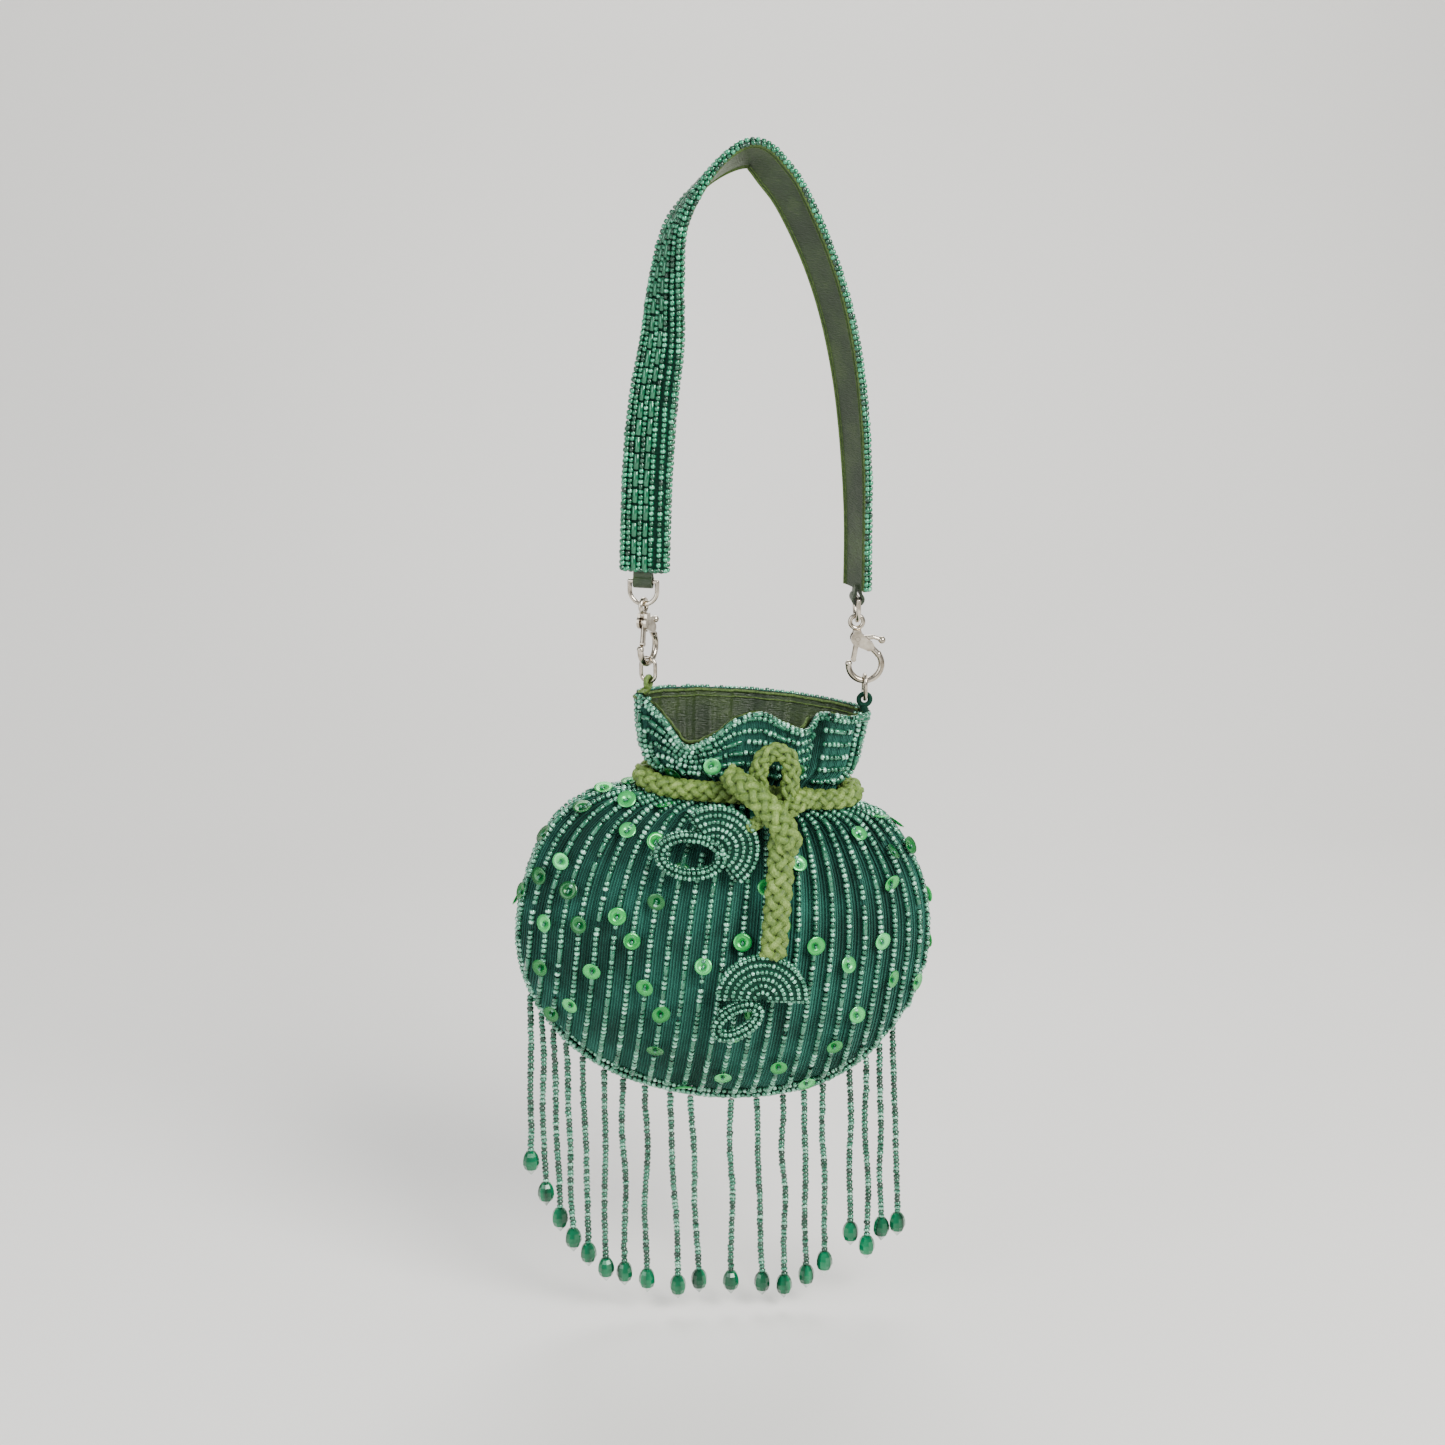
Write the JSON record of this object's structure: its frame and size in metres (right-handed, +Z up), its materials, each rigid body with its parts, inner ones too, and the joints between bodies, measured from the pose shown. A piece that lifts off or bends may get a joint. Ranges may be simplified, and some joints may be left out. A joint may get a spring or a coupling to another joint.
{
  "type": "beaded drawstring gift pouch",
  "caption": "Velvet drawstring gift pouch with beaded rows, braided drawcord with beaded tassels, bead fringe, and a clip-on beaded wrist strap.",
  "frame": {"origin": "underside of the strap at its highest point, where a hand or a hook carries the hanging pouch", "axes": "+Z up, -Y towards the front of the pouch, +X to the right seen from the front"},
  "size_m": [0.1416, 0.065, 0.4038],
  "materials": {
    "velvet": "ribbed velvet",
    "satin": "satin",
    "braid": "braided satin cord",
    "seed_beads": "silver-lined glass beads",
    "beadwork": "padded felt covered with seed beads",
    "crystal": "faceted glass",
    "metal": "polished"
  },
  "bodies": {
    "handle": {"strap_face": "seed_beads", "strap_backing": "satin"},
    "dring_left": {"dring_left": "metal"},
    "dring_right": {"dring_right": "metal"},
    "clasp_left": {"clasp_left": "metal"},
    "clasp_right": {"clasp_right": "metal"},
    "lever_left": {"lever_left": "metal"},
    "lever_right": {"lever_right": "metal"},
    "bag_ring_left": {"bag_ring_left": "metal"},
    "bag_ring_right": {"bag_ring_right": "metal"},
    "pouch": {"tab_left": "braid", "tab_right": "braid", "outer_front": "velvet", "outer_back": "velvet", "lining": "satin", "seam_piping": "seed_beads", "drawcord_loop": "braid", "drawcord_knot": "braid"},
    "cord_end_front": {"cord_tail_front": "braid", "tassel_front": "beadwork"},
    "cord_end_side": {"cord_tail_side": "braid", "tassel_side": "beadwork"},
    "fringe_01": {"strand_01": "seed_beads", "drop_01": "crystal"},
    "fringe_02": {"strand_02": "seed_beads", "drop_02": "crystal"},
    "fringe_03": {"strand_03": "seed_beads", "drop_03": "crystal"},
    "fringe_04": {"strand_04": "seed_beads", "drop_04": "crystal"},
    "fringe_05": {"strand_05": "seed_beads", "drop_05": "crystal"},
    "fringe_06": {"strand_06": "seed_beads", "drop_06": "crystal"},
    "fringe_07": {"strand_07": "seed_beads", "drop_07": "crystal"},
    "fringe_08": {"strand_08": "seed_beads", "drop_08": "crystal"},
    "fringe_09": {"strand_09": "seed_beads", "drop_09": "crystal"},
    "fringe_10": {"strand_10": "seed_beads", "drop_10": "crystal"},
    "fringe_11": {"strand_11": "seed_beads", "drop_11": "crystal"},
    "fringe_12": {"strand_12": "seed_beads", "drop_12": "crystal"},
    "fringe_13": {"strand_13": "seed_beads", "drop_13": "crystal"},
    "fringe_14": {"strand_14": "seed_beads", "drop_14": "crystal"},
    "fringe_15": {"strand_15": "seed_beads", "drop_15": "crystal"},
    "fringe_16": {"strand_16": "seed_beads", "drop_16": "crystal"},
    "fringe_17": {"strand_17": "seed_beads", "drop_17": "crystal"},
    "fringe_18": {"strand_18": "seed_beads", "drop_18": "crystal"},
    "fringe_19": {"strand_19": "seed_beads", "drop_19": "crystal"}
  },
  "joints": [
    {"name": "dring_left_swing", "type": "hinge", "parent": "handle", "child": "dring_left", "pos_m": [-0.0349, 0, -0.135], "axis": [0.9952, 0, -0.0977], "range_deg": [-8, 8]},
    {"name": "clasp_left_swing", "type": "hinge", "parent": "dring_left", "child": "clasp_left", "pos_m": [-0.0349, 0, -0.1426], "axis": [0.9972, 0, -0.0745], "range_deg": [-18, 18]},
    {"name": "bag_ring_left_swing", "type": "hinge", "parent": "clasp_left", "child": "bag_ring_left", "pos_m": [-0.0334, 0.0026, -0.16135], "axis": [0.992, -0.0359, -0.1209], "range_deg": [-14, 14]},
    {"name": "pouch_swing", "type": "hinge", "parent": "bag_ring_left", "child": "pouch", "pos_m": [-0.0334, 0.0026, -0.16955], "axis": [0.9967, -0.0361, -0.0722], "range_deg": [-20, 20]},
    {"name": "dring_right_swing", "type": "hinge", "parent": "handle", "child": "dring_right", "pos_m": [0.0354, 0, -0.1419], "axis": [0.9952, 0, -0.0977], "range_deg": [-8, 8]},
    {"name": "clasp_right_swing", "type": "hinge", "parent": "dring_right", "child": "clasp_right", "pos_m": [0.0354, 0, -0.14785], "axis": [0.9972, 0, -0.0745], "range_deg": [-18, 18]},
    {"name": "bag_ring_right_swing", "type": "hinge", "parent": "clasp_right", "child": "bag_ring_right", "pos_m": [0.0384, 0, -0.1701], "axis": [0.992, -0.0359, -0.1209], "range_deg": [-14, 14]},
    {"name": "lever_left_press", "type": "hinge", "parent": "clasp_left", "child": "lever_left", "pos_m": [-0.03475, 0.00026, -0.1487], "axis": [0.866, -0.5, 0], "range_deg": [0, 22], "stiffness_Nm_per_rad": 0.004, "springref_deg": -20.05},
    {"name": "lever_right_press", "type": "hinge", "parent": "clasp_right", "child": "lever_right", "pos_m": [0.0357, 0, -0.1556], "axis": [0, -1, 0], "range_deg": [0, 22], "stiffness_Nm_per_rad": 0.004, "springref_deg": -20.05},
    {"name": "cord_end_front_lift", "type": "hinge", "parent": "pouch", "child": "cord_end_front", "pos_m": [0.0076, -0.0304, -0.2154], "axis": [-1, 0, 0], "range_deg": [0, 35]},
    {"name": "cord_end_side_lift", "type": "hinge", "parent": "pouch", "child": "cord_end_side", "pos_m": [0.0004, -0.0296, -0.2076], "axis": [-1, 0, 0], "range_deg": [0, 30]},
    {"name": "fringe_01_swing", "type": "hinge", "parent": "pouch", "child": "fringe_01", "pos_m": [-0.0744, 0, -0.28544], "axis": [1, 0, 0], "range_deg": [-25, 25]},
    {"name": "fringe_02_swing", "type": "hinge", "parent": "pouch", "child": "fringe_02", "pos_m": [-0.071, 0, -0.28956], "axis": [1, 0, 0], "range_deg": [-25, 25]},
    {"name": "fringe_03_swing", "type": "hinge", "parent": "pouch", "child": "fringe_03", "pos_m": [-0.067, 0, -0.29404], "axis": [1, 0, 0], "range_deg": [-25, 25]},
    {"name": "fringe_04_swing", "type": "hinge", "parent": "pouch", "child": "fringe_04", "pos_m": [-0.0628, 0, -0.29814], "axis": [1, 0, 0], "range_deg": [-25, 25]},
    {"name": "fringe_05_swing", "type": "hinge", "parent": "pouch", "child": "fringe_05", "pos_m": [-0.057, 0, -0.30262], "axis": [1, 0, 0], "range_deg": [-25, 25]},
    {"name": "fringe_06_swing", "type": "hinge", "parent": "pouch", "child": "fringe_06", "pos_m": [-0.0499, 0, -0.30699], "axis": [1, 0, 0], "range_deg": [-25, 25]},
    {"name": "fringe_07_swing", "type": "hinge", "parent": "pouch", "child": "fringe_07", "pos_m": [-0.0433, 0, -0.31021], "axis": [1, 0, 0], "range_deg": [-25, 25]},
    {"name": "fringe_08_swing", "type": "hinge", "parent": "pouch", "child": "fringe_08", "pos_m": [-0.0358, 0, -0.31299], "axis": [1, 0, 0], "range_deg": [-25, 25]},
    {"name": "fringe_09_swing", "type": "hinge", "parent": "pouch", "child": "fringe_09", "pos_m": [-0.0272, 0, -0.31682], "axis": [1, 0, 0], "range_deg": [-25, 25]},
    {"name": "fringe_10_swing", "type": "hinge", "parent": "pouch", "child": "fringe_10", "pos_m": [-0.0203, 0, -0.31821], "axis": [1, 0, 0], "range_deg": [-25, 25]},
    {"name": "fringe_11_swing", "type": "hinge", "parent": "pouch", "child": "fringe_11", "pos_m": [-0.006, 0, -0.31965], "axis": [1, 0, 0], "range_deg": [-25, 25]},
    {"name": "fringe_12_swing", "type": "hinge", "parent": "pouch", "child": "fringe_12", "pos_m": [0.0027, 0, -0.31954], "axis": [1, 0, 0], "range_deg": [-25, 25]},
    {"name": "fringe_13_swing", "type": "hinge", "parent": "pouch", "child": "fringe_13", "pos_m": [0.0121, 0, -0.31786], "axis": [1, 0, 0], "range_deg": [-25, 25]},
    {"name": "fringe_14_swing", "type": "hinge", "parent": "pouch", "child": "fringe_14", "pos_m": [0.0193, 0, -0.3166], "axis": [1, 0, 0], "range_deg": [-25, 25]},
    {"name": "fringe_15_swing", "type": "hinge", "parent": "pouch", "child": "fringe_15", "pos_m": [0.0259, 0, -0.31463], "axis": [1, 0, 0], "range_deg": [-25, 25]},
    {"name": "fringe_16_swing", "type": "hinge", "parent": "pouch", "child": "fringe_16", "pos_m": [0.0352, 0, -0.31059], "axis": [1, 0, 0], "range_deg": [-25, 25]},
    {"name": "fringe_17_swing", "type": "hinge", "parent": "pouch", "child": "fringe_17", "pos_m": [0.041, 0, -0.30687], "axis": [1, 0, 0], "range_deg": [-25, 25]},
    {"name": "fringe_18_swing", "type": "hinge", "parent": "pouch", "child": "fringe_18", "pos_m": [0.0454, 0, -0.30311], "axis": [1, 0, 0], "range_deg": [-25, 25]},
    {"name": "fringe_19_swing", "type": "hinge", "parent": "pouch", "child": "fringe_19", "pos_m": [0.05, 0, -0.29799], "axis": [1, 0, 0], "range_deg": [-25, 25]}
  ],
  "couplings": [
    {"joint": "dring_right_swing", "follows": "dring_left_swing", "ratio": 1},
    {"joint": "clasp_right_swing", "follows": "clasp_left_swing", "ratio": 1},
    {"joint": "bag_ring_right_swing", "follows": "bag_ring_left_swing", "ratio": 1}
  ]
}
